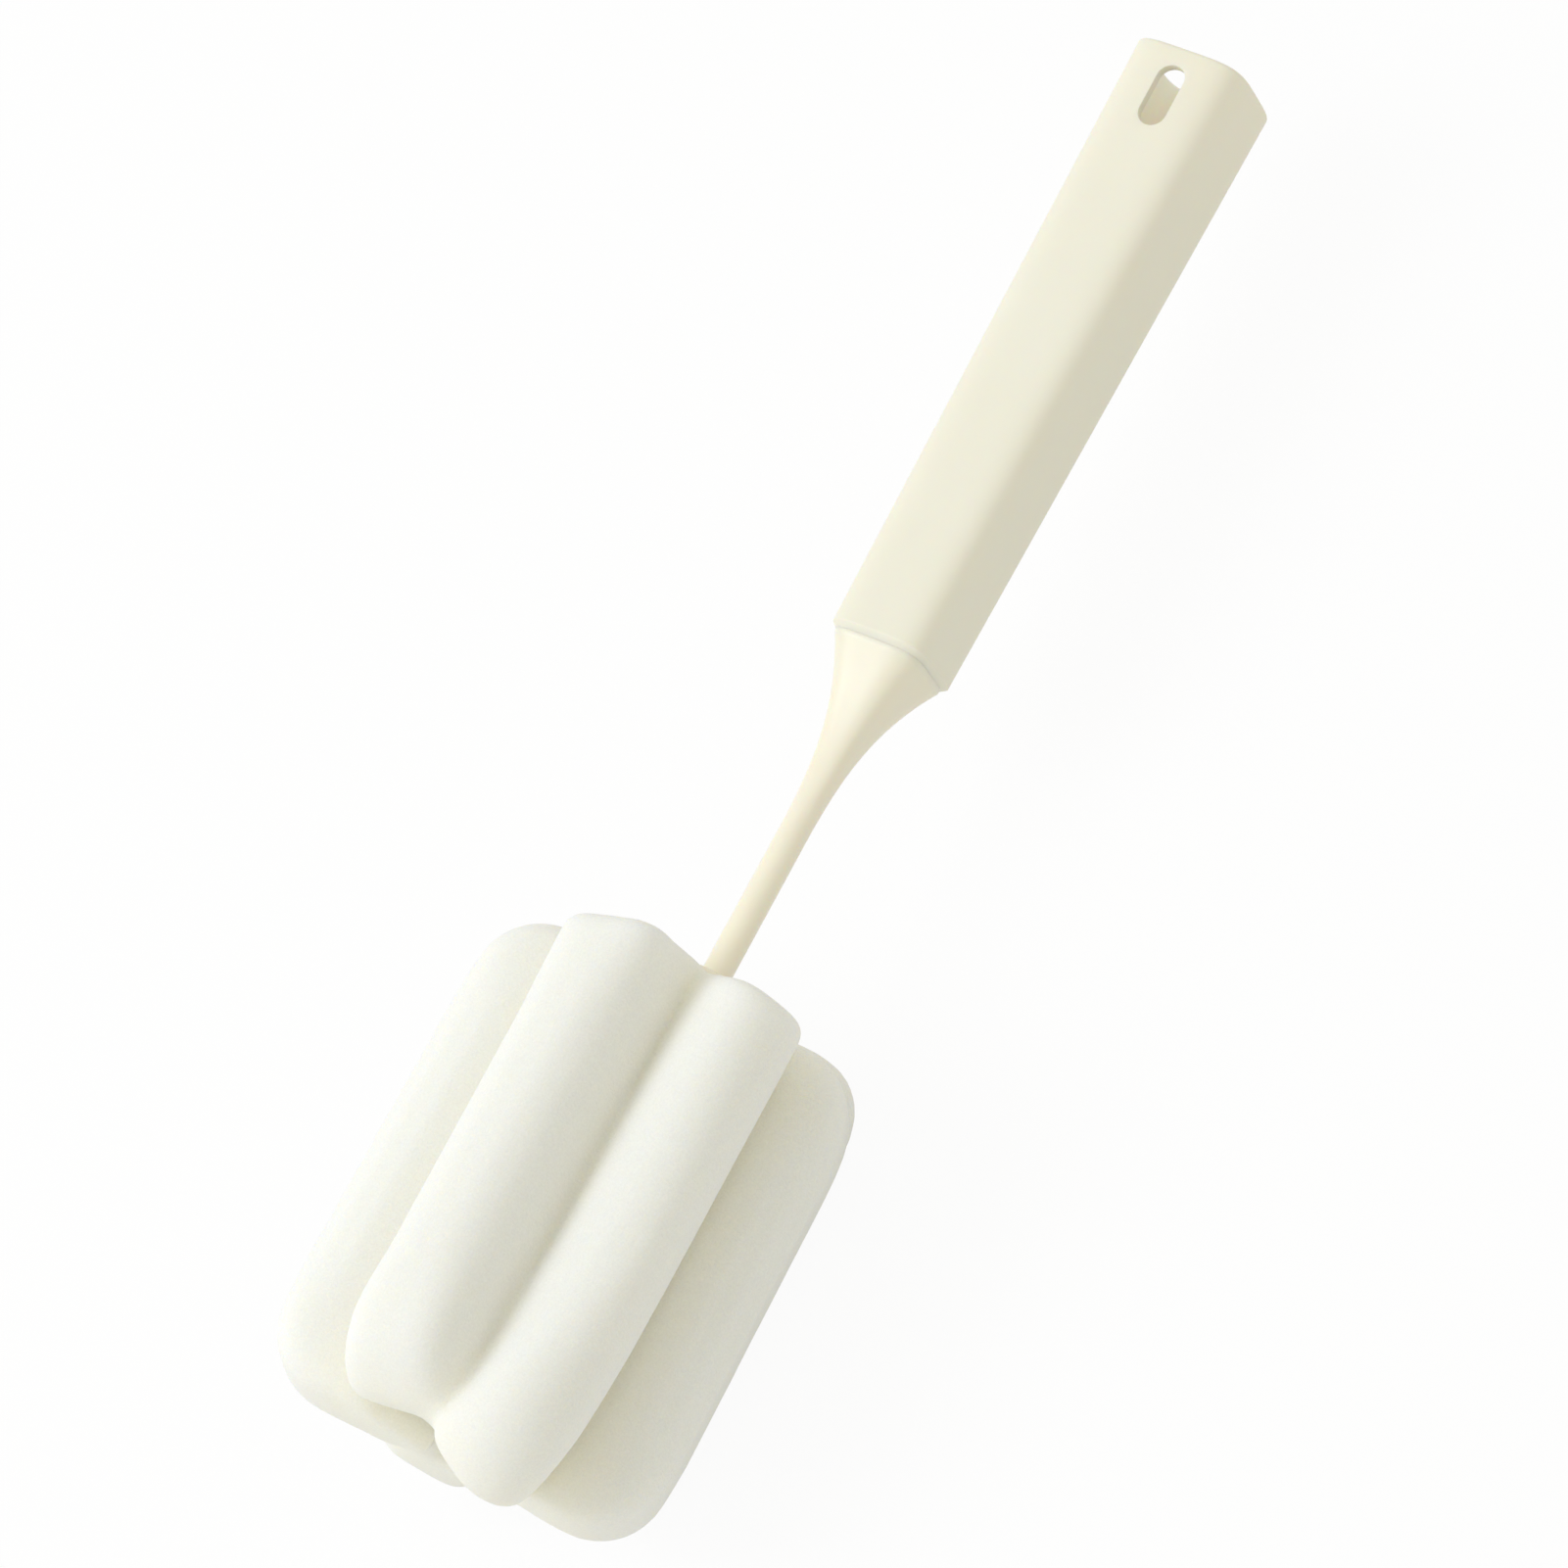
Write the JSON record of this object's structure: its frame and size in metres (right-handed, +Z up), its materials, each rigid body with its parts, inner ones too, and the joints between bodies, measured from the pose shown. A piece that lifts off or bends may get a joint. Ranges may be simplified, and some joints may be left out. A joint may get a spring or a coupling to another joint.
{
  "type": "sponge cup brush",
  "caption": "Long-handled sponge brush for cups and bottles: foam petals pinched in a fork at the end of a flared stem, on a hollow square grip with a hanging slot.",
  "frame": {"origin": "under the centre of the brush's box, on the surface that it lies on", "axes": "+X along the handle towards its hanging slot, +Z up out of the face that carries the slot, the brush lying on two rear foam petals"},
  "size_m": [0.317, 0.08, 0.0752],
  "materials": {
    "cream_matt_plastic": "fine matt texture",
    "cream_smooth_plastic": "smooth satin",
    "white_foam": "fine-celled white sponge foam"
  },
  "bodies": {
    "brush": {"handle_sleeve": "cream_matt_plastic", "neck_stem": "cream_smooth_plastic", "foam_front": "white_foam", "foam_middle": "white_foam", "foam_rear": "white_foam"},
    "cap": {"tip_cap": "cream_smooth_plastic"}
  },
  "joints": [
    {"name": "cap_pull", "type": "slide", "parent": "brush", "child": "cap", "axis": [-1, 0, 0], "range_m": [0, 0.03]}
  ]
}
